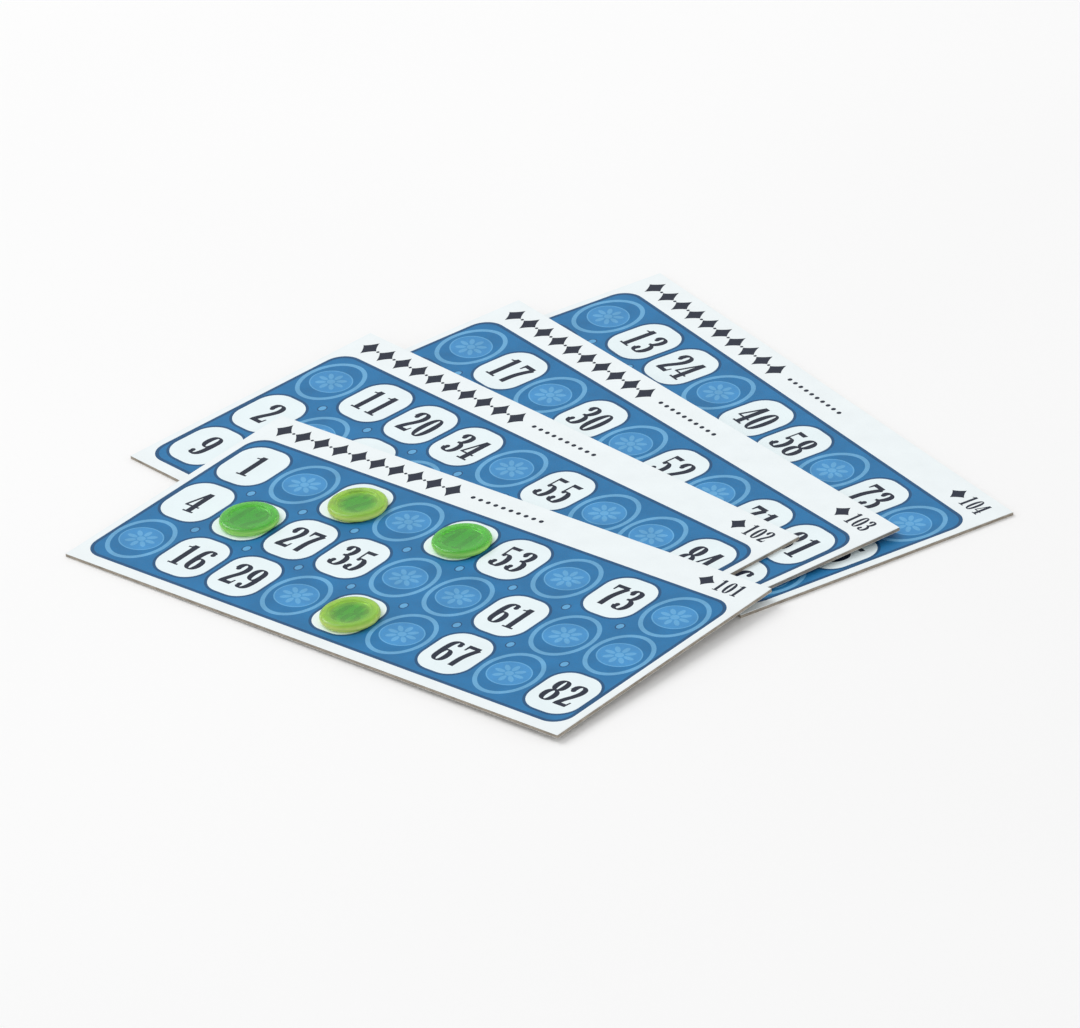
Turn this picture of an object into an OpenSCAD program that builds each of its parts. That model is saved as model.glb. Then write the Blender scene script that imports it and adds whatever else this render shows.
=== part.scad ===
// A fan of four number cards lying on a table, with four see-through markers on the front card.
// Each card is a laminate: a printed face sheet and a backing sheet glued to a greyboard core.
// The bottom card lies flat. The other three lean on it like shingles, parallel to each other,
// and the lowest corner of each one rests on the table.
// Origin: centre of the bottom card's underside. +X runs along its long edge, +Y towards its
// title strip, +Z up.

/* [Card layout] */
// Columns of number spaces on a card
columns = 9; // [5:1:9]
// Rows of number spaces on a card
rows = 3; // [3:1:5]
// Width of one number space
space_w = 16; // [15:0.5:20]
// Height of one number space
space_h = 19.2; // [16:0.2:24]
// Printed border left and right of the spaces
border_side = 0.5; // [0:0.1:2]
// Printed border above and below the spaces
border_end = 1.7; // [0:0.1:4]
// Bare margin left and right of the printed panel
margin_side = 2; // [1:0.5:6]
// Bare margin below the printed panel
margin_foot = 3; // [1:0.5:8]
// Title strip above the printed panel
title_h = 10; // [6:0.5:16]

/* [Card layers] */
// Thickness of the printed face sheet
face_t = 0.1; // [0.05:0.05:0.3]
// Thickness of the greyboard core
core_t = 0.7; // [0.4:0.1:2]
// Thickness of the backing sheet
back_t = 0.1; // [0.05:0.05:0.3]

/* [Fan] */
// How far each leaning card's lowest corner lies in front of the card below it
fan_step = 35; // [25:1:45]
// Turn of the front card, counted from the bottom card
front_turn = 17; // [0:0.5:30]
// Turn of the second card
second_turn = 9.5; // [0:0.5:30]
// Turn of the third card
third_turn = 3.5; // [0:0.5:30]
// Sideways place of the front card's lowest corner, from the bottom card's left edge
front_shift = 27; // [-40:0.5:40]
// Sideways place of the second card's lowest corner
second_shift = -3.5; // [-40:0.5:40]
// Sideways place of the third card's lowest corner
third_shift = -2.5; // [-40:0.5:40]
// Air between loose pieces that lie on each other
lay_gap = 0.03; // [0.01:0.01:0.1]

/* [Marker] */
// Diameter of a marker
marker_d = 14; // [10:0.5:15]
// Height of a marker, which is also the diameter of its rounded edge
marker_h = 1.8; // [1:0.1:3]
// Width of the rim round a marker's dish
rim_w = 2; // [1.5:0.1:3]
// Depth of the dish
dish = 0.4; // [0.1:0.1:0.6]

/* [Hidden] */
$fn = 96;
// How far a cut runs past the face that it opens
overrun = 0.2;
card_w = columns * space_w + 2 * (border_side + margin_side);
card_h = rows * space_h + 2 * border_end + margin_foot + title_h;
card_t = face_t + core_t + back_t;
// Thickness that each card adds to the pile
lay_t = card_t + lay_gap;
// Slope of the leaning cards, which climb one thickness in one step
slope = asin(lay_t / fan_step);
// Cards are counted from the front card, 1, to the bottom card
turns = [front_turn, second_turn, third_turn];
shifts = [front_shift, second_shift, third_shift];
bottom = len(turns) + 1;
layers = ["face", "core", "back"];
// Spaces of the front card that a marker covers: column from the left, row from the top
marked_spaces = [[3, 1], [5, 1], [2, 2], [5, 3]];
// How far each loose marker lies off the middle of its space: along the row, and up the column
marker_slips = [[1.9, -1.5], [1.3, -1], [0.6, -0.4], [1.2, -0.9]];
card_nodes = [for (c = [1 : bottom], layer = layers) str("card_", c, "_", layer)];
marker_nodes = [for (m = [1 : len(marked_spaces)]) str("marker_", m)];

// Puts a card in its place in the fan. The card's own origin is its front left corner, underneath.
module place_card(c) {
    // Leaning cards that lie between this one and the bottom card
    under = bottom - 1 - c;
    translate([-card_w / 2, -card_h / 2, 0])
        if (c == bottom)
            children();
        else
            translate([0, 0, lay_t])
                rotate([slope, 0, 0])
                    translate([shifts[c - 1], -fan_step * (1 + under * cos(slope)), under * lay_t])
                        rotate([0, 0, turns[c - 1]])
                            children();
}

// One layer of a card, from a height above the card's underside
module sheet(height, thickness) {
    translate([0, 0, height]) cube([card_w, card_h, thickness]);
}

// Printed sheet that holds the number panel and the title strip
module card_face(c) {
    color("steelblue") place_card(c) sheet(back_t + core_t, face_t);
}

// Stiff board between the two sheets, bare at the cut edges
module card_core(c) {
    color("rosybrown") place_card(c) sheet(back_t, core_t);
}

// Plain sheet that keeps the board flat
module card_back(c) {
    color("whitesmoke") place_card(c) sheet(0, back_t);
}

// Solid of one marker: a disc with a rounded edge and a shallow dish inside its rim
module marker_disc() {
    edge_centre = (marker_d - marker_h) / 2;
    dish_d = marker_d - 2 * rim_w;
    difference() {
        rotate_extrude() {
            square([edge_centre, marker_h]);
            translate([edge_centre, marker_h / 2]) circle(d = marker_h);
        }
        translate([0, 0, marker_h - dish])
            cylinder(h = dish + overrun, d1 = dish_d - 2 * dish, d2 = dish_d + 2 * overrun);
    }
}

// Marker that lies on a space of the front card
module marker(m) {
    space = marked_spaces[m - 1];
    slip = marker_slips[m - 1];
    x = margin_side + border_side + (space[0] - 1 / 2) * space_w + slip[0];
    y = margin_foot + border_end + (rows - space[1] + 1 / 2) * space_h + slip[1];
    color("limegreen", 0.8) place_card(1) translate([x, y, lay_t]) marker_disc();
}

for (c = [1 : bottom]) {
    card_face(c);
    card_core(c);
    card_back(c);
}
for (m = [1 : len(marked_spaces)])
    marker(m);
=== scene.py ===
import math

import bpy
from mathutils import Matrix, Vector
from mathutils.geometry import delaunay_2d_cdt


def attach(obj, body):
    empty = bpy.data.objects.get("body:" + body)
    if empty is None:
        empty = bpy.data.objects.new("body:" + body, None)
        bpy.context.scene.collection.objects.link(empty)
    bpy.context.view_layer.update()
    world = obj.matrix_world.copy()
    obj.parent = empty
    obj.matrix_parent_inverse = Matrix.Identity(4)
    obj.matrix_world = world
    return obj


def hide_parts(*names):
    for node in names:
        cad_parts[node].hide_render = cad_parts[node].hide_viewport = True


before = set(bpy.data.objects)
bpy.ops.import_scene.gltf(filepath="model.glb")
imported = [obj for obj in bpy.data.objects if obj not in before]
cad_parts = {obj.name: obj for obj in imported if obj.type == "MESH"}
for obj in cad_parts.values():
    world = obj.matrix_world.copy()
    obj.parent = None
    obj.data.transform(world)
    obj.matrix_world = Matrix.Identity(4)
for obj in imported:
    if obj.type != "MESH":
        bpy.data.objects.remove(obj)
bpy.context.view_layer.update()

# Layout of a card in metres: X runs along its long edge, Y towards its title strip
COLUMNS = 9
ROWS = 3
MARGIN_SIDE = 0.002
MARGIN_FOOT = 0.003
TITLE_H = 0.010
BORDER_SIDE = 0.0005
BORDER_END = 0.0017
PANEL_RADIUS = 0.0052
PANEL_LINE = 0.0009

# Crushed upper edge of the printed sheet
EDGE_ROUND = 0.00006

# Number space: a white plate with round corners and an outline
PLATE_W = 0.0140
PLATE_H = 0.0166
PLATE_RADIUS = 0.0054
PLATE_LINE = 0.0007
NUMBER_H = 0.0090

# Blank space: a ring round a paler disc with a rosette of petals
RING_W = 0.0153
RING_H = 0.0182
RING_LINE = 0.0011
DISC_W = 0.0112
DISC_H = 0.0098
DISC_LINE = 0.0003
PETALS = 8
PETAL_L_SHARE = 0.5
PETAL_W_SHARE = 0.24
PETAL_PLACE_SHARE = 0.48
EYE_SHARE = 0.2

# Dots where four spaces meet
DOT_W = 0.0017
DOT_H = 0.0021
DOT_LINE = 0.0003

# Ornament of the title strip and the card's number at its right end
ORNAMENT_START = 0.0056
ORNAMENT_STEP = 0.0058
ORNAMENT_COUNT = 10
ORNAMENT_W = 0.0047
ORNAMENT_H = 0.0062
ORNAMENT_DOT = 0.0008
STAR_POWER = 0.82
RULE_START = 0.0640
RULE_STEP = 0.0023
RULE_COUNT = 10
RULE_DOT = 0.0012
CARD_NUMBER_H = 0.0048
CARD_NUMBER_INSET = 0.0045
CARD_NUMBER_GAP = 0.0032

# Figures, in shares of their height
STEM_SHARE = 0.175
HAIR_SHARE = 0.06
FLAG_SHARE = 0.075
BALL_SHARE = 0.15
SERIF_SHARE = 0.34
FIGURE_W_SHARE = 0.44
FIGURE_STEP_SHARE = 0.53
# Squareness of a round figure's outside and of its counter
BOWL_POWER = 2.3
COUNTER_POWER = 2.1

ROUND_STEPS = 56
STAR_STEPS = 32
SMALL_STEPS = 16
CORNER_STEPS = 9
CURVE_STEPS = 5

# Numbers printed on the cards, front card first; a zero is a blank space
NUMBERS = [
    [[1, 0, 22, 0, 41, 53, 0, 73, 0], [4, 12, 27, 35, 0, 0, 61, 0, 0], [0, 16, 29, 0, 48, 0, 67, 0, 82]],
    [[0, 11, 20, 34, 0, 55, 0, 0, 84], [2, 0, 26, 0, 43, 0, 65, 78, 0], [9, 18, 0, 37, 0, 59, 0, 79, 0]],
    [[0, 17, 0, 30, 0, 52, 0, 71, 81], [5, 0, 23, 0, 44, 0, 62, 0, 86], [0, 19, 28, 38, 0, 57, 0, 75, 0]],
    [[0, 13, 24, 0, 40, 58, 0, 73, 0], [3, 0, 25, 33, 0, 0, 64, 0, 85], [7, 15, 0, 36, 46, 0, 68, 0, 0]],
]
CARD_BODIES = ["front_card", "second_card", "third_card", "bottom_card"]
FIRST_CARD_NUMBER = 101
MARKER_SLOTS = ["lime_plastic", "green_plastic", "green_plastic", "lime_plastic"]

# Marker in metres, beyond what its frame node gives; the wall of its dish slopes at half a right angle
MARKER_RIM = 0.0020
MARKER_DISH = 0.0004
MARKER_FILLET = 0.00022
DISH_SLOPE = 45
MARKER_STEPS = 96
EDGE_STEPS = 16
FILLET_STEPS = 4

# Shares of a marker's radius between which its colour turns from the middle's to the rim's lighter one, which
# is painted light gathered in the rim
PAINTED_RIM_LIGHT_START_SHARE = 0.4
PAINTED_RIM_LIGHT_END_SHARE = 0.8
# Where a glow of painted light lies along its lower edge: shares of its radius, and of its height
PAINTED_GLOW_START_SHARE = 0.8
PAINTED_GLOW_END_SHARE = 0.9
PAINTED_GLOW_FULL_SHARE = 0.6
PAINTED_GLOW_NONE_SHARE = 0.98
# How much light its middle and that edge let through; less at the edge, so that its painted glow shows
CLEAR_MIDDLE = 0.66
CLEAR_EDGE = 0.25

# Points closer than this are one point: in the print's plane, and on the frame's meshes
MERGE = 1e-7
TOUCH = 1e-5
# Weight of X against Y in the choice of a sheet's front left corner
LEFT_WEIGHT = 0.1

# Noises: features per metre, and detail
INK_CLOUD = (140.0, 3.0)
INK_GRAIN = (2600.0, 5.0)
BOARD_LAYERS = (420.0, 6.0)
BOARD_FLECKS = (3200.0, 4.0)
PLASTIC_SWIRL = (260.0, 3.0)
PLASTIC_POLISH = (500.0, 2.0)
FLOOR_CLOUD = (3.0, 2.0)
# The range that a noise's values mostly lie in
NOISE_LOW = 0.3
NOISE_HIGH = 0.7

# Ink: depth of its clouds, places of its speckles on the grain, roughness, sheen, bump in metres and strength
INK_DEPTH = 0.1
WHITE_DEPTH = 0.02
SPECKLE_LOW = 0.35
SPECKLE_HIGH = 0.6
INK_ROUGH = (0.34, 0.5)
INK_SHEEN = 0.16
INK_BUMP = (0.00002, 0.25)

# Board: end of its layers' range, places and darkness of its flecks, and the same finish values
LAYER_HIGH = 0.68
FLECK_LOW = 0.33
FLECK_HIGH = 0.5
FLECK_DARK = 0.72
BOARD_ROUGH = (0.78, 0.95)
BOARD_SHEEN = 0.25
BOARD_BUMP = (0.00006, 0.5)
# Stretch of a noise: across the core's layers, which show at its cut edges, and none
LAYER_STRETCH = (1, 1, 9)
NO_STRETCH = (1, 1, 1)

# Plastic: darkness of its swirls, refraction, and the same finish values
SWIRL_DARK = 0.94
PLASTIC_IOR = 1.49
PLASTIC_ROUGH = (0.08, 0.14)
PLASTIC_SHEEN = 0.4
PLASTIC_BUMP = (0.00001, 0.1)

FLOOR_SIZE = 6.0
FLOOR_ROUGH = 0.9
FLOOR_SHEEN = 0.1
WORLD_LIGHT = 0.70
KEY_ENERGY = 78.0
KEY_SIZE = 2.8
KEY_PLACE = (-2.7, -0.9, 3.2)
CAMERA_AZIMUTH = -60.2
CAMERA_ELEVATION = 29.2
CAMERA_ROLL = -4.7
CAMERA_DISTANCE = 2.5
LOOK_AT = (0.0050, -0.0467, 0.0)
# Width of the view at the point looked at
VIEW_WIDTH = 0.247


def srgb(red, green, blue):
    """Linear colour of an sRGB colour given in 0 to 255."""
    def linear(value):
        value /= 255
        return value / 12.92 if value <= 0.04045 else ((value + 0.055) / 1.055) ** 2.4
    return (linear(red), linear(green), linear(blue), 1.0)


WHITE = srgb(255, 255, 255)
CORE_COLOURS = (srgb(136, 127, 115), srgb(184, 175, 162))
BACK_COLOURS = (srgb(205, 203, 197), srgb(226, 224, 219))
FLOOR_COLOURS = (srgb(250, 250, 250), srgb(253, 253, 253))
# Colours of a marker's middle, of its rim, which is lighter with painted light, and of its lower edge, which
# is a painted glow
MARKER_COLOURS = {
    "lime_plastic": (srgb(94, 212, 36), srgb(192, 244, 80), srgb(240, 255, 138)),
    "green_plastic": (srgb(72, 214, 40), srgb(104, 228, 66), srgb(188, 255, 126)),
}


# Flat outlines


def ellipse(centre, width, height, power=2.0, steps=ROUND_STEPS):
    """Closed outline of an ellipse; a power above 2 makes it squarer, one below 1 hollows its sides."""
    points = []
    for step in range(steps):
        turn = 2 * math.pi * step / steps
        across = math.copysign(abs(math.cos(turn)) ** (2 / power), math.cos(turn))
        along = math.copysign(abs(math.sin(turn)) ** (2 / power), math.sin(turn))
        points.append(Vector((centre[0] + width / 2 * across, centre[1] + height / 2 * along)))
    return points


def rectangle(left, foot, width, height):
    """Closed outline of a rectangle from its lower left corner."""
    corners = [(0, 0), (width, 0), (width, height), (0, height)]
    return [Vector((left + x, foot + y)) for x, y in corners]


def rounded(left, foot, width, height, radius):
    """Closed outline of a rectangle with round corners."""
    points = []
    centres = [(width - radius, height - radius), (radius, height - radius),
               (radius, radius), (width - radius, radius)]
    for quarter, (x, y) in enumerate(centres):
        for step in range(CORNER_STEPS + 1):
            turn = math.pi / 2 * (quarter + step / CORNER_STEPS)
            points.append(Vector((left + x + radius * math.cos(turn), foot + y + radius * math.sin(turn))))
    return points


def spot(centre, width, height):
    """Closed outline of a small dot."""
    return ellipse(centre, width, height, steps=SMALL_STEPS)


def star(centre, width, height):
    """Closed outline of a four-pointed star with hollow sides."""
    return ellipse(centre, width, height, STAR_POWER, STAR_STEPS)


def petal(centre, width, height, turn):
    """Closed outline of one petal of a rosette that is stretched to a box."""
    along = Vector((math.cos(turn), math.sin(turn)))
    across = Vector((-along.y, along.x))
    points = []
    for point in spot((PETAL_PLACE_SHARE, 0), PETAL_L_SHARE, PETAL_W_SHARE):
        place = along * point.x + across * point.y
        points.append(Vector((centre[0] + place.x * width / 2, centre[1] + place.y * height / 2)))
    return points


# Figures drawn with a broad pen, in a box of height 1


def path(*points):
    """Smooth path through given points."""
    points = [Vector(p) for p in points]
    padded = [2 * points[0] - points[1]] + points + [2 * points[-1] - points[-2]]
    made = []
    for before, start, end, after in zip(padded, padded[1:], padded[2:], padded[3:]):
        for step in range(CURVE_STEPS):
            t = step / CURVE_STEPS
            made.append(0.5 * (2 * start + (end - before) * t
                               + (2 * before - 5 * start + 4 * end - after) * t * t
                               + (3 * start - before - 3 * end + after) * t ** 3))
    return made + [points[-1]]


def pen(points, stem=STEM_SHARE, hair=HAIR_SHARE):
    """Outline of a pen stroke that is wide where it runs down and thin where it runs across."""
    left = []
    right = []
    for index, point in enumerate(points):
        ahead = (points[min(index + 1, len(points) - 1)] - points[max(index - 1, 0)]).normalized()
        half = math.hypot(stem * ahead.y, hair * ahead.x) / 2
        side = Vector((-ahead.y, ahead.x)) * half
        left.append(point + side)
        right.append(point - side)
    return right + left[::-1]


def stroke(*points):
    """Curved stroke of the pen."""
    return [("figure", pen(path(*points)))]


def hairline(start, end, width=HAIR_SHARE):
    """Straight stroke of one width."""
    return [("figure", pen([Vector(start), Vector(end)], width, width))]


def block(*points):
    """Filled outline."""
    return [("figure", [Vector(p) for p in points])]


def ball(x, y):
    """Round end of a stroke."""
    return [("figure", spot((x, y), BALL_SHARE, BALL_SHARE))]


def bowl(x, y, width, height):
    """Closed loop of the pen round a middle point: an oval and the counter in it."""
    outer = ellipse((x, y), width + STEM_SHARE, height + HAIR_SHARE, BOWL_POWER)
    inner = ellipse((x, y), width - STEM_SHARE, height - HAIR_SHARE, COUNTER_POWER)
    return [("figure", outer), ("plate", inner)]


def foot(x):
    """Serif under a stem."""
    return hairline((x - SERIF_SHARE / 2, HAIR_SHARE / 2), (x + SERIF_SHARE / 2, HAIR_SHARE / 2))


def turned(shapes):
    """The same shapes turned half round in the figure's box."""
    return [(ink, [Vector((FIGURE_W_SHARE - p.x, 1 - p.y)) for p in outline]) for ink, outline in shapes]


SIX = (bowl(0.22, 0.29, 0.29, 0.52)
       + stroke((0.36, 0.88), (0.31, 0.95), (0.23, 0.97), (0.12, 0.86), (0.075, 0.6), (0.075, 0.3))
       + ball(0.345, 0.85))

FIGURES = {
    "0": bowl(0.22, 0.5, 0.29, 0.94),
    "1": (hairline((0.22, 0), (0.22, 1), STEM_SHARE) + foot(0.22)
          + block((0.02, 0.85), (0.15, 0.86), (0.15, 1), (0.1, 0.91), (0.02, 0.9))),
    "2": (stroke((0.06, 0.73), (0.1, 0.9), (0.22, 0.97), (0.34, 0.88), (0.355, 0.7),
                 (0.285, 0.5), (0.17, 0.28), (0.085, 0.06))
          + block((0.01, 0), (0.4, 0), (0.44, 0.24), (0.39, 0.24), (0.36, 0.13), (0.1, 0.13), (0.01, 0.1))
          + ball(0.09, 0.73)),
    "3": (stroke((0.07, 0.8), (0.11, 0.92), (0.21, 0.97), (0.32, 0.89), (0.33, 0.73),
                 (0.26, 0.58), (0.14, 0.52))
          + stroke((0.14, 0.53), (0.28, 0.5), (0.36, 0.38), (0.355, 0.2), (0.28, 0.07), (0.18, 0.03),
                   (0.08, 0.08), (0.05, 0.2))
          + ball(0.1, 0.8) + ball(0.09, 0.21)),
    "4": (hairline((0.3, 0), (0.3, 1), STEM_SHARE) + foot(0.3) + hairline((-0.01, 0.29), (0.46, 0.29))
          + hairline((0.25, 0.97), (0.02, 0.29), FLAG_SHARE)),
    "5": (block((0.06, 0.87), (0.36, 0.87), (0.4, 1), (0.06, 1)) + hairline((0.09, 0.96), (0.09, 0.5))
          + stroke((0.09, 0.52), (0.17, 0.59), (0.26, 0.58), (0.345, 0.46), (0.355, 0.25), (0.28, 0.07),
                   (0.18, 0.03), (0.08, 0.08), (0.05, 0.2))
          + ball(0.09, 0.21)),
    "6": SIX,
    "7": (block((0.02, 0.74), (0.07, 0.74), (0.1, 0.87), (0.42, 0.87), (0.42, 1), (0.02, 1))
          + stroke((0.4, 0.92), (0.3, 0.7), (0.22, 0.4), (0.2, 0.0))),
    "8": (bowl(0.22, 0.745, 0.25, 0.45) + bowl(0.22, 0.265, 0.3, 0.47)),
    "9": turned(SIX),
}


def number_span(number):
    """Width of a number in shares of its figures' height."""
    return FIGURE_W_SHARE + FIGURE_STEP_SHARE * (len(str(number)) - 1)


def figures(number, centre, height):
    """Outlines of a number's figures round a centre."""
    left = -number_span(number) / 2
    shapes = []
    for place, figure in enumerate(str(number)):
        origin = Vector(centre) + Vector((place * FIGURE_STEP_SHARE + left, -0.5)) * height
        for ink, outline in FIGURES[figure]:
            shapes.append((ink, [origin + point * height for point in outline]))
    return shapes


# Print of a card, painted in order from the bare sheet up


def oval_line(ink, inner_ink, centre, width, height, line):
    """A line along an oval, with its inside in another ink."""
    return [(ink, ellipse(centre, width, height)),
            (inner_ink, ellipse(centre, width - 2 * line, height - 2 * line))]


def number_space(centre, number):
    """White plate with an outline and a number."""
    left = centre[0] - PLATE_W / 2
    low = centre[1] - PLATE_H / 2
    plate = rounded(left, low, PLATE_W, PLATE_H, PLATE_RADIUS)
    edge = rounded(left - PLATE_LINE, low - PLATE_LINE, PLATE_W + 2 * PLATE_LINE, PLATE_H + 2 * PLATE_LINE,
                   PLATE_RADIUS + PLATE_LINE)
    return [("line", edge), ("plate", plate)] + figures(number, centre, NUMBER_H)


def blank_space(centre):
    """Ring and disc with a rosette."""
    turns = [2 * math.pi * place / PETALS for place in range(PETALS)]
    return (oval_line("ring", "ground", centre, RING_W, RING_H, RING_LINE)
            + oval_line("petal", "disc", centre, DISC_W, DISC_H, DISC_LINE)
            + [("petal", petal(centre, DISC_W, DISC_H, turn)) for turn in turns]
            + [("petal", spot(centre, DISC_W * EYE_SHARE, DISC_H * EYE_SHARE))])


def corner_dot(centre):
    """Outlined dot between four spaces."""
    return [("line", spot(centre, DOT_W + 2 * DOT_LINE, DOT_H + 2 * DOT_LINE)),
            ("petal", spot(centre, DOT_W, DOT_H))]


def title_strip(width, middle, card_number):
    """Row of stars and dots, a dotted rule, and the card's number at the right end."""
    shapes = []
    for place in range(ORNAMENT_COUNT):
        x = ORNAMENT_START + place * ORNAMENT_STEP
        shapes.append(("figure", star((x, middle), ORNAMENT_W, ORNAMENT_H)))
        if place + 1 < ORNAMENT_COUNT:
            shapes.append(("figure", spot((x + ORNAMENT_STEP / 2, middle), ORNAMENT_DOT, ORNAMENT_DOT)))
    for place in range(RULE_COUNT):
        shapes.append(("figure", spot((RULE_START + place * RULE_STEP, middle), RULE_DOT, RULE_DOT)))
    span = CARD_NUMBER_H * number_span(card_number)
    centre = (width - CARD_NUMBER_INSET - span / 2, middle)
    mark = (centre[0] - span / 2 - CARD_NUMBER_GAP, middle)
    shapes.append(("figure", star(mark, CARD_NUMBER_H, CARD_NUMBER_H)))
    for ink, outline in figures(card_number, centre, CARD_NUMBER_H):
        shapes.append(("paper" if ink == "plate" else ink, outline))
    return shapes


def card_print(width, height, numbers, card_number):
    """All outlines of a card's print, each with its ink."""
    panel_w = width - 2 * MARGIN_SIDE
    panel_h = height - TITLE_H - MARGIN_FOOT
    shapes = [("paper", rectangle(EDGE_ROUND, EDGE_ROUND, width - 2 * EDGE_ROUND, height - 2 * EDGE_ROUND))]
    for ink, inset in (("line", 0), ("ground", PANEL_LINE)):
        shapes.append((ink, rounded(MARGIN_SIDE + inset, MARGIN_FOOT + inset, panel_w - 2 * inset,
                                    panel_h - 2 * inset, PANEL_RADIUS - inset)))
    space_w = (panel_w - 2 * BORDER_SIDE) / COLUMNS
    space_h = (panel_h - 2 * BORDER_END) / ROWS
    left = MARGIN_SIDE + BORDER_SIDE
    top = MARGIN_FOOT + panel_h - BORDER_END
    blanks = []
    plates = []
    for row in range(ROWS):
        for column in range(COLUMNS):
            centre = (left + (column + 0.5) * space_w, top - (row + 0.5) * space_h)
            number = numbers[row][column]
            if number:
                plates += number_space(centre, number)
            else:
                blanks += blank_space(centre)
    dots = []
    for row in range(1, ROWS):
        for column in range(1, COLUMNS):
            dots += corner_dot((left + column * space_w, top - row * space_h))
    title = title_strip(width, height - TITLE_H / 2, card_number)
    return shapes + blanks + plates + dots + title


# Meshes


def counter_clockwise(outline):
    """The outline in the turning sense that the triangulation needs."""
    area = sum(a.x * b.y - b.x * a.y for a, b in zip(outline, outline[1:] + outline[:1]))
    return outline if area > 0 else outline[::-1]


def nearest(points, target):
    """Index of the point that is nearest to a target."""
    return min(range(len(points)), key=lambda k: (points[k] - target).length)


def sheet_mesh(name, shapes, edge, thickness, inks):
    """Closed thin sheet whose top is divided into the print's areas, the last painted ink on each."""
    points = []
    faces = []
    for _, outline in shapes:
        start = len(points)
        points += counter_clockwise(outline)
        faces.append(list(range(start, len(points))))
    corners, _, triangles, _, _, sources = delaunay_2d_cdt(points, [], faces, 0, MERGE, True)
    vertices = [(p.x, p.y, 0) for p in corners]
    names = list(inks)
    materials = [names.index(shapes[max(source)][0]) for source in sources]
    sheet_outline = shapes[0][1]
    loops = [[nearest(corners, corner) for corner in sheet_outline]]
    count = len(edge)
    for level in (-EDGE_ROUND, -thickness):
        loops.append([len(vertices) + k for k in range(count)])
        vertices += [(p.x, p.y, level) for p in edge]
    sides = [(upper[k], lower[k], lower[(k + 1) % count], upper[(k + 1) % count])
             for upper, lower in zip(loops, loops[1:]) for k in range(count)]
    rest = sides + [loops[-1][::-1]]
    mesh = bpy.data.meshes.new(name)
    mesh.from_pydata(vertices, [], list(triangles) + rest)
    for ink in names:
        mesh.materials.append(inks[ink])
    paper = names.index("paper")
    mesh.polygons.foreach_set("material_index", materials + [paper] * len(rest))
    mesh.update()
    return mesh


def arc(centre, radius, start, end, steps):
    """Points of an arc in a lathe profile, angles in degrees."""
    turns = [math.radians(start + (end - start) * step / steps) for step in range(steps + 1)]
    return [(centre[0] + radius * math.cos(t), centre[1] + radius * math.sin(t)) for t in turns]


def marker_profile(diameter, height):
    """Half section of a marker from the middle of its underside to the middle of its dish."""
    edge = height / 2
    edge_middle = diameter / 2 - edge
    dish_edge = diameter / 2 - MARKER_RIM
    slope_foot = dish_edge - MARKER_DISH
    soft = MARKER_FILLET * math.tan(math.radians(DISH_SLOPE / 2))
    floor = height - MARKER_DISH
    rim_turn = (90, 90 + DISH_SLOPE)
    foot_turn = (DISH_SLOPE - 90, -90)
    profile = arc((edge_middle, edge), edge, -90, 90, EDGE_STEPS)
    profile += arc((dish_edge + soft, height - MARKER_FILLET), MARKER_FILLET, *rim_turn, FILLET_STEPS)
    profile += arc((slope_foot - soft, floor + MARKER_FILLET), MARKER_FILLET, *foot_turn, FILLET_STEPS)
    return profile


def marker_mesh(name, diameter, height, material):
    """Marker turned on a lathe, with a round edge and a soft-edged dish."""
    profile = marker_profile(diameter, height)
    vertices = []
    for step in range(MARKER_STEPS):
        turn = 2 * math.pi * step / MARKER_STEPS
        vertices += [(r * math.cos(turn), r * math.sin(turn), z) for r, z in profile]
    size = len(profile)
    underside = len(vertices)
    dish = underside + 1
    vertices += [(0, 0, profile[0][1]), (0, 0, profile[-1][1])]
    faces = []
    for step in range(MARKER_STEPS):
        here = step * size
        there = (step + 1) % MARKER_STEPS * size
        faces += [(here + k, there + k, there + k + 1, here + k + 1) for k in range(size - 1)]
        faces.append((underside, there, here))
        faces.append((dish, here + size - 1, there + size - 1))
    mesh = bpy.data.meshes.new(name)
    mesh.from_pydata(vertices, [], faces)
    mesh.materials.append(material)
    mesh.shade_smooth()
    mesh.update()
    return mesh


# Materials


def new_material(name):
    """A material, its node tree and its shader."""
    made = bpy.data.materials.new(name)
    made.use_nodes = True
    return made, made.node_tree, made.node_tree.nodes["Principled BSDF"]


def noise(tree, scale, detail, stretch=NO_STRETCH):
    """Noise on the object's own coordinates, in features per metre; returns its value socket."""
    place = tree.nodes.new("ShaderNodeTexCoord")
    mapping = tree.nodes.new("ShaderNodeMapping")
    mapping.inputs["Scale"].default_value = stretch
    texture = tree.nodes.new("ShaderNodeTexNoise")
    texture.inputs["Scale"].default_value = scale
    texture.inputs["Detail"].default_value = detail
    tree.links.new(place.outputs["Object"], mapping.inputs["Vector"])
    tree.links.new(mapping.outputs["Vector"], texture.inputs["Vector"])
    return texture.outputs["Fac"]


def ramp(tree, value, first, last, start=NOISE_LOW, end=NOISE_HIGH):
    """Colour that turns from the first to the last as a value goes from start to end."""
    node = tree.nodes.new("ShaderNodeValToRGB")
    for element, position, colour in zip(node.color_ramp.elements, (start, end), (first, last)):
        element.position = position
        element.color = colour
    tree.links.new(value, node.inputs["Fac"])
    return node.outputs["Color"]


def spread(tree, value, low, high, start=NOISE_LOW, end=NOISE_HIGH):
    """The range start..end of a value mapped to low..high."""
    node = tree.nodes.new("ShaderNodeMapRange")
    node.inputs["From Min"].default_value = start
    node.inputs["From Max"].default_value = end
    node.inputs["To Min"].default_value = low
    node.inputs["To Max"].default_value = high
    tree.links.new(value, node.inputs["Value"])
    return node.outputs["Result"]


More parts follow.
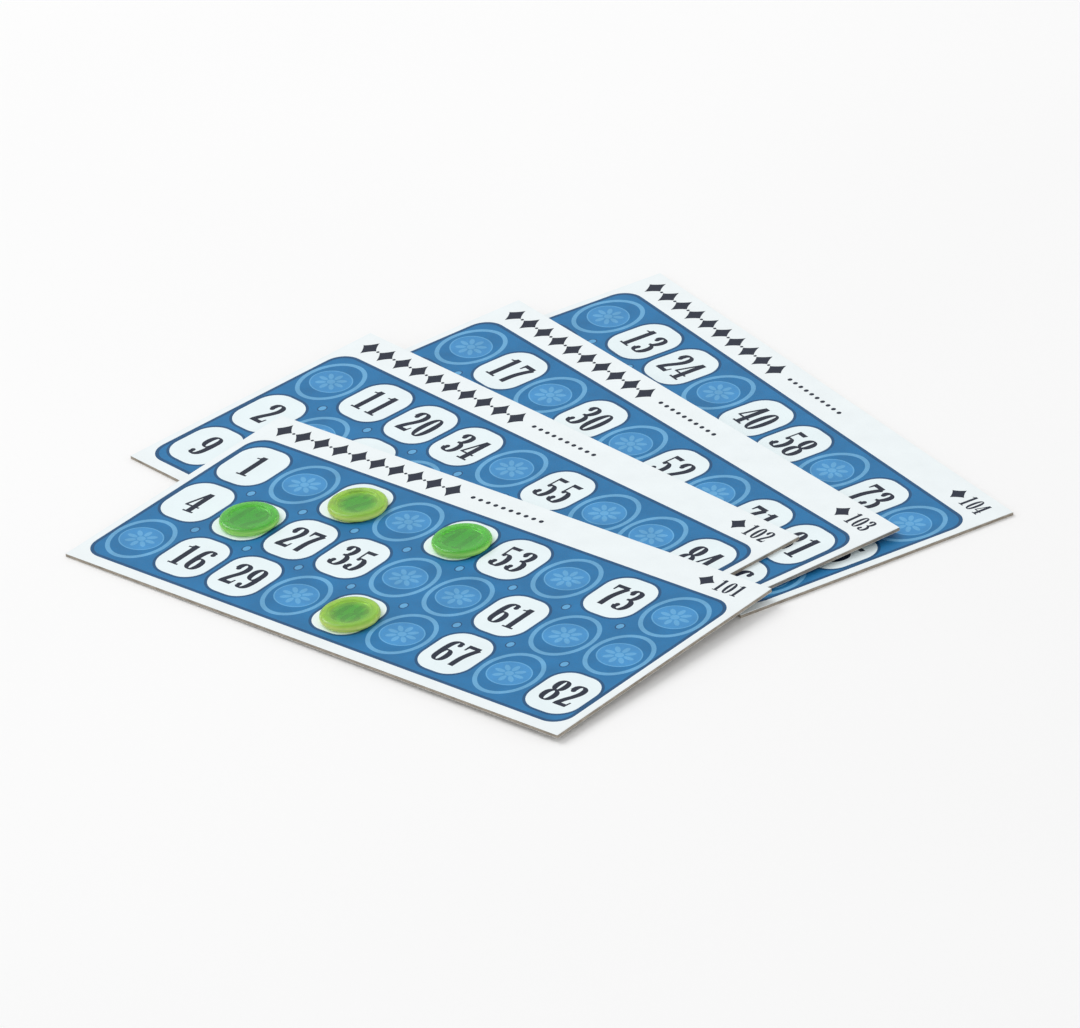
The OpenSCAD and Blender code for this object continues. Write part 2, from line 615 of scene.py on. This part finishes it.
def mixed(tree, factor, first, second, blend="MIX"):
    """Mix of two colours by a factor; each of the three is a socket or a value."""
    node = tree.nodes.new("ShaderNodeMix")
    node.data_type = "RGBA"
    node.blend_type = blend
    # The node has sockets for every data type: these are the factor and the two colours
    for socket, value in ((node.inputs[0], factor), (node.inputs[6], first), (node.inputs[7], second)):
        if isinstance(value, bpy.types.NodeSocket):
            tree.links.new(value, socket)
        else:
            socket.default_value = value
    return node.outputs[2]


def bump(tree, shader, height, distance, strength):
    """Fine relief from a noise."""
    node = tree.nodes.new("ShaderNodeBump")
    node.inputs["Distance"].default_value = distance
    node.inputs["Strength"].default_value = strength
    tree.links.new(height, node.inputs["Height"])
    tree.links.new(node.outputs["Normal"], shader.inputs["Normal"])


def scaled(colour, share):
    """A colour made darker or lighter."""
    return tuple(min(1.0, channel * share) for channel in colour[:3]) + (1.0,)


def finish(tree, shader, colour, texture, rough, sheen, relief):
    """Links a colour, and a roughness and relief that follow a noise."""
    tree.links.new(colour, shader.inputs["Base Color"])
    tree.links.new(spread(tree, texture, *rough), shader.inputs["Roughness"])
    shader.inputs["Specular IOR Level"].default_value = sheen
    bump(tree, shader, texture, *relief)


def ink_material(name, colour, depth=INK_DEPTH):
    """Printing ink on coated paper: cloudy ink film, fine grain, and a soft sheen."""
    made, tree, shader = new_material(name)
    cloud = noise(tree, *INK_CLOUD)
    grain = noise(tree, *INK_GRAIN)
    film = ramp(tree, cloud, scaled(colour, 1 - depth), scaled(colour, 1 + depth))
    speckle = ramp(tree, grain, scaled(WHITE, 1 - depth), WHITE, SPECKLE_LOW, SPECKLE_HIGH)
    body = mixed(tree, 1.0, film, speckle, "MULTIPLY")
    finish(tree, shader, body, grain, INK_ROUGH, INK_SHEEN, INK_BUMP)
    return made


def board_material(name, dark, light, stretch):
    """Pressed board: layered fibres with dark and light flecks."""
    made, tree, shader = new_material(name)
    layers = noise(tree, *BOARD_LAYERS, stretch)
    flecks = noise(tree, *BOARD_FLECKS)
    pulp = ramp(tree, layers, dark, light, NOISE_LOW, LAYER_HIGH)
    fleck = ramp(tree, flecks, scaled(WHITE, FLECK_DARK), WHITE, FLECK_LOW, FLECK_HIGH)
    body = mixed(tree, 1.0, pulp, fleck, "MULTIPLY")
    finish(tree, shader, body, flecks, BOARD_ROUGH, BOARD_SHEEN, BOARD_BUMP)
    return made


def plastic_material(name, core, rim_with_painted_light, edge, radius, height):
    """See-through moulded plastic with painted light: a lighter rim, and a glow painted along its lower edge.
    """
    made, tree, shader = new_material(name)
    place = tree.nodes.new("ShaderNodeTexCoord")
    flat = tree.nodes.new("ShaderNodeVectorMath")
    flat.operation = "MULTIPLY"
    flat.inputs[1].default_value = (1, 1, 0)
    reach = tree.nodes.new("ShaderNodeVectorMath")
    reach.operation = "LENGTH"
    level = tree.nodes.new("ShaderNodeSeparateXYZ")
    painted_glow_mask = tree.nodes.new("ShaderNodeMath")
    painted_glow_mask.operation = "MULTIPLY"
    tree.links.new(place.outputs["Object"], flat.inputs[0])
    tree.links.new(place.outputs["Object"], level.inputs["Vector"])
    tree.links.new(flat.outputs["Vector"], reach.inputs[0])
    out = reach.outputs["Value"]
    # The colour turns lighter towards the rim: painted light, as if light gathered in the rim
    turn = spread(tree, out, 0, 1, PAINTED_RIM_LIGHT_START_SHARE * radius, PAINTED_RIM_LIGHT_END_SHARE * radius)
    # Mask of the painted glow: near the rim and low on the marker
    outer = spread(tree, out, 0, 1, PAINTED_GLOW_START_SHARE * radius, PAINTED_GLOW_END_SHARE * radius)
    lower = spread(tree, level.outputs["Z"], 1, 0, PAINTED_GLOW_FULL_SHARE * height, PAINTED_GLOW_NONE_SHARE * height)
    tree.links.new(outer, painted_glow_mask.inputs[0])
    tree.links.new(lower, painted_glow_mask.inputs[1])
    painted_glow = painted_glow_mask.outputs["Value"]
    # The plastic's own green, with the painted lighter rim and the painted glow mixed in
    dye_and_painted_light = mixed(tree, painted_glow, ramp(tree, turn, core, rim_with_painted_light, 0, 1), edge)
    swirl = ramp(tree, noise(tree, *PLASTIC_SWIRL), scaled(WHITE, SWIRL_DARK), WHITE)
    body = mixed(tree, 1.0, dye_and_painted_light, swirl, "MULTIPLY")
    polish = noise(tree, *PLASTIC_POLISH)
    finish(tree, shader, body, polish, PLASTIC_ROUGH, PLASTIC_SHEEN, PLASTIC_BUMP)
    # The marker lets less light through where its glow is painted
    clear = spread(tree, painted_glow, CLEAR_MIDDLE, CLEAR_EDGE, 0, 1)
    tree.links.new(clear, shader.inputs["Transmission Weight"])
    shader.inputs["IOR"].default_value = PLASTIC_IOR
    return made


# Placing on the frame


def card_frame(node):
    """Matrix, width, height and thickness of a face sheet; the origin is its top's front left corner."""
    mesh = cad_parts[node].data
    normals = [polygon.normal.copy() for polygon in mesh.polygons]
    up = max(normals, key=lambda normal: normal.z).normalized()
    levels = [vertex.co.dot(up) for vertex in mesh.vertices]
    corners = [vertex.co.copy() for vertex in mesh.vertices if max(levels) - vertex.co.dot(up) < TOUCH]
    # The leaning cards have one foremost corner; of the two that the flat card has, the left one counts
    corner = min(corners, key=lambda c: c.y + LEFT_WEIGHT * c.x)
    others = [c for c in corners if (c - corner).length > TOUCH]
    far = max(others, key=lambda c: (c - corner).length)
    near = min(others, key=lambda c: (c - corner).length)
    along = (far - near).normalized()
    matrix = Matrix((along, up.cross(along), up)).transposed().to_4x4()
    matrix.translation = corner
    return matrix, (far - near).length, (near - corner).length, max(levels) - min(levels)


def add_piece(name, mesh, matrix, body, node):
    """Piece that rides on a body and stands for a frame node."""
    piece = bpy.data.objects.new(name, mesh)
    bpy.context.scene.collection.objects.link(piece)
    piece.matrix_world = matrix
    bpy.context.view_layer.update()
    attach(piece, body)
    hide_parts(node)


def dress(node, material):
    """Gives a frame node that keeps its shape a better material."""
    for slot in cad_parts[node].material_slots:
        slot.material = material


INKS = {
    "paper": ink_material("coated_paper", srgb(241, 248, 250), WHITE_DEPTH),
    "plate": ink_material("plate_white", srgb(236, 248, 251), WHITE_DEPTH),
    "line": ink_material("outline_ink", srgb(26, 82, 126)),
    "ground": ink_material("ground_ink", srgb(34, 117, 172)),
    "ring": ink_material("ring_ink", srgb(104, 170, 214)),
    "disc": ink_material("disc_ink", srgb(68, 146, 204)),
    "petal": ink_material("petal_ink", srgb(98, 169, 217)),
    "figure": ink_material("figure_ink", srgb(22, 32, 52)),
}
core_board = board_material("core_board", *CORE_COLOURS, LAYER_STRETCH)
back_paper = board_material("back_paper", *BACK_COLOURS, NO_STRETCH)

for index, body in enumerate(CARD_BODIES):
    card = f"card_{index + 1}"
    matrix, width, height, thickness = card_frame(f"{card}_face")
    shapes = card_print(width, height, NUMBERS[index], FIRST_CARD_NUMBER + index)
    mesh = sheet_mesh(f"{card}_print", shapes, rectangle(0, 0, width, height), thickness, INKS)
    add_piece(f"{card}_print", mesh, matrix, body, f"{card}_face")
    dress(f"{card}_core", core_board)
    dress(f"{card}_back", back_paper)

front_matrix = card_frame("card_1_face")[0]
for index, slot in enumerate(MARKER_SLOTS):
    node = f"marker_{index + 1}"
    local = [front_matrix.inverted() @ vertex.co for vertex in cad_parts[node].data.vertices]
    low = Vector(min(p[axis] for p in local) for axis in range(3))
    high = Vector(max(p[axis] for p in local) for axis in range(3))
    diameter = high.x - low.x
    height = high.z - low.z
    plastic = plastic_material(f"{node}_plastic", *MARKER_COLOURS[slot], diameter / 2, height)
    mesh = marker_mesh(f"{node}_disc", diameter, height, plastic)
    seat = Matrix.Translation(((low.x + high.x) / 2, (low.y + high.y) / 2, low.z))
    add_piece(f"{node}_disc", mesh, front_matrix @ seat, node, node)


# Floor, light and camera


def add_floor():
    """White floor, which is no part of the object."""
    mesh = bpy.data.meshes.new("floor")
    half = FLOOR_SIZE / 2
    corners = [(-half, -half, 0), (half, -half, 0), (half, half, 0), (-half, half, 0)]
    mesh.from_pydata(corners, [], [(0, 1, 2, 3)])
    made, tree, shader = new_material("floor_white")
    tint = ramp(tree, noise(tree, *FLOOR_CLOUD), *FLOOR_COLOURS)
    tree.links.new(tint, shader.inputs["Base Color"])
    shader.inputs["Roughness"].default_value = FLOOR_ROUGH
    shader.inputs["Specular IOR Level"].default_value = FLOOR_SHEEN
    mesh.materials.append(made)
    floor = bpy.data.objects.new("floor", mesh)
    bpy.context.scene.collection.objects.link(floor)


def add_world():
    """World that is white where it is seen, also in reflections, and dimmer as a light."""
    world = bpy.data.worlds.new("studio")
    bpy.context.scene.world = world
    world.use_nodes = True
    tree = world.node_tree
    background = tree.nodes["Background"]
    background.inputs["Color"].default_value = (1, 1, 1, 1)
    rays = tree.nodes.new("ShaderNodeLightPath")
    seen = rays.outputs["Is Camera Ray"]
    for ray in ("Is Glossy Ray", "Is Transmission Ray"):
        either = tree.nodes.new("ShaderNodeMath")
        either.operation = "MAXIMUM"
        tree.links.new(seen, either.inputs[0])
        tree.links.new(rays.outputs[ray], either.inputs[1])
        seen = either.outputs["Value"]
    strength = tree.nodes.new("ShaderNodeMapRange")
    strength.inputs["To Min"].default_value = WORLD_LIGHT
    strength.inputs["To Max"].default_value = 1.0
    tree.links.new(seen, strength.inputs["Value"])
    tree.links.new(strength.outputs["Result"], background.inputs["Strength"])


def add_key():
    """Soft light from the upper left."""
    light = bpy.data.lights.new("key", "AREA")
    light.energy = KEY_ENERGY
    light.size = KEY_SIZE
    key = bpy.data.objects.new("key", light)
    bpy.context.scene.collection.objects.link(key)
    key.location = KEY_PLACE
    key.rotation_euler = (Vector(LOOK_AT) - Vector(KEY_PLACE)).to_track_quat("-Z", "Y").to_euler()


def add_camera():
    """Camera at the photograph's angle, turned about its own axis by the roll."""
    azimuth = math.radians(CAMERA_AZIMUTH)
    elevation = math.radians(CAMERA_ELEVATION)
    ahead = Vector((math.sin(azimuth) * math.cos(elevation), math.cos(azimuth) * math.cos(elevation),
                    -math.sin(elevation)))
    turn = Matrix.Rotation(math.radians(-CAMERA_ROLL), 3, ahead)
    right = turn @ Vector((math.cos(azimuth), -math.sin(azimuth), 0))
    up = right.cross(ahead)
    data = bpy.data.cameras.new("camera")
    data.sensor_fit = "HORIZONTAL"
    data.lens = data.sensor_width * CAMERA_DISTANCE / VIEW_WIDTH
    camera = bpy.data.objects.new("camera", data)
    bpy.context.scene.collection.objects.link(camera)
    matrix = Matrix((right, up, -ahead)).transposed().to_4x4()
    matrix.translation = Vector(LOOK_AT) - ahead * CAMERA_DISTANCE
    camera.matrix_world = matrix
    bpy.context.scene.camera = camera


add_floor()
add_world()
add_key()
add_camera()
bpy.context.scene.view_settings.view_transform = "Standard"
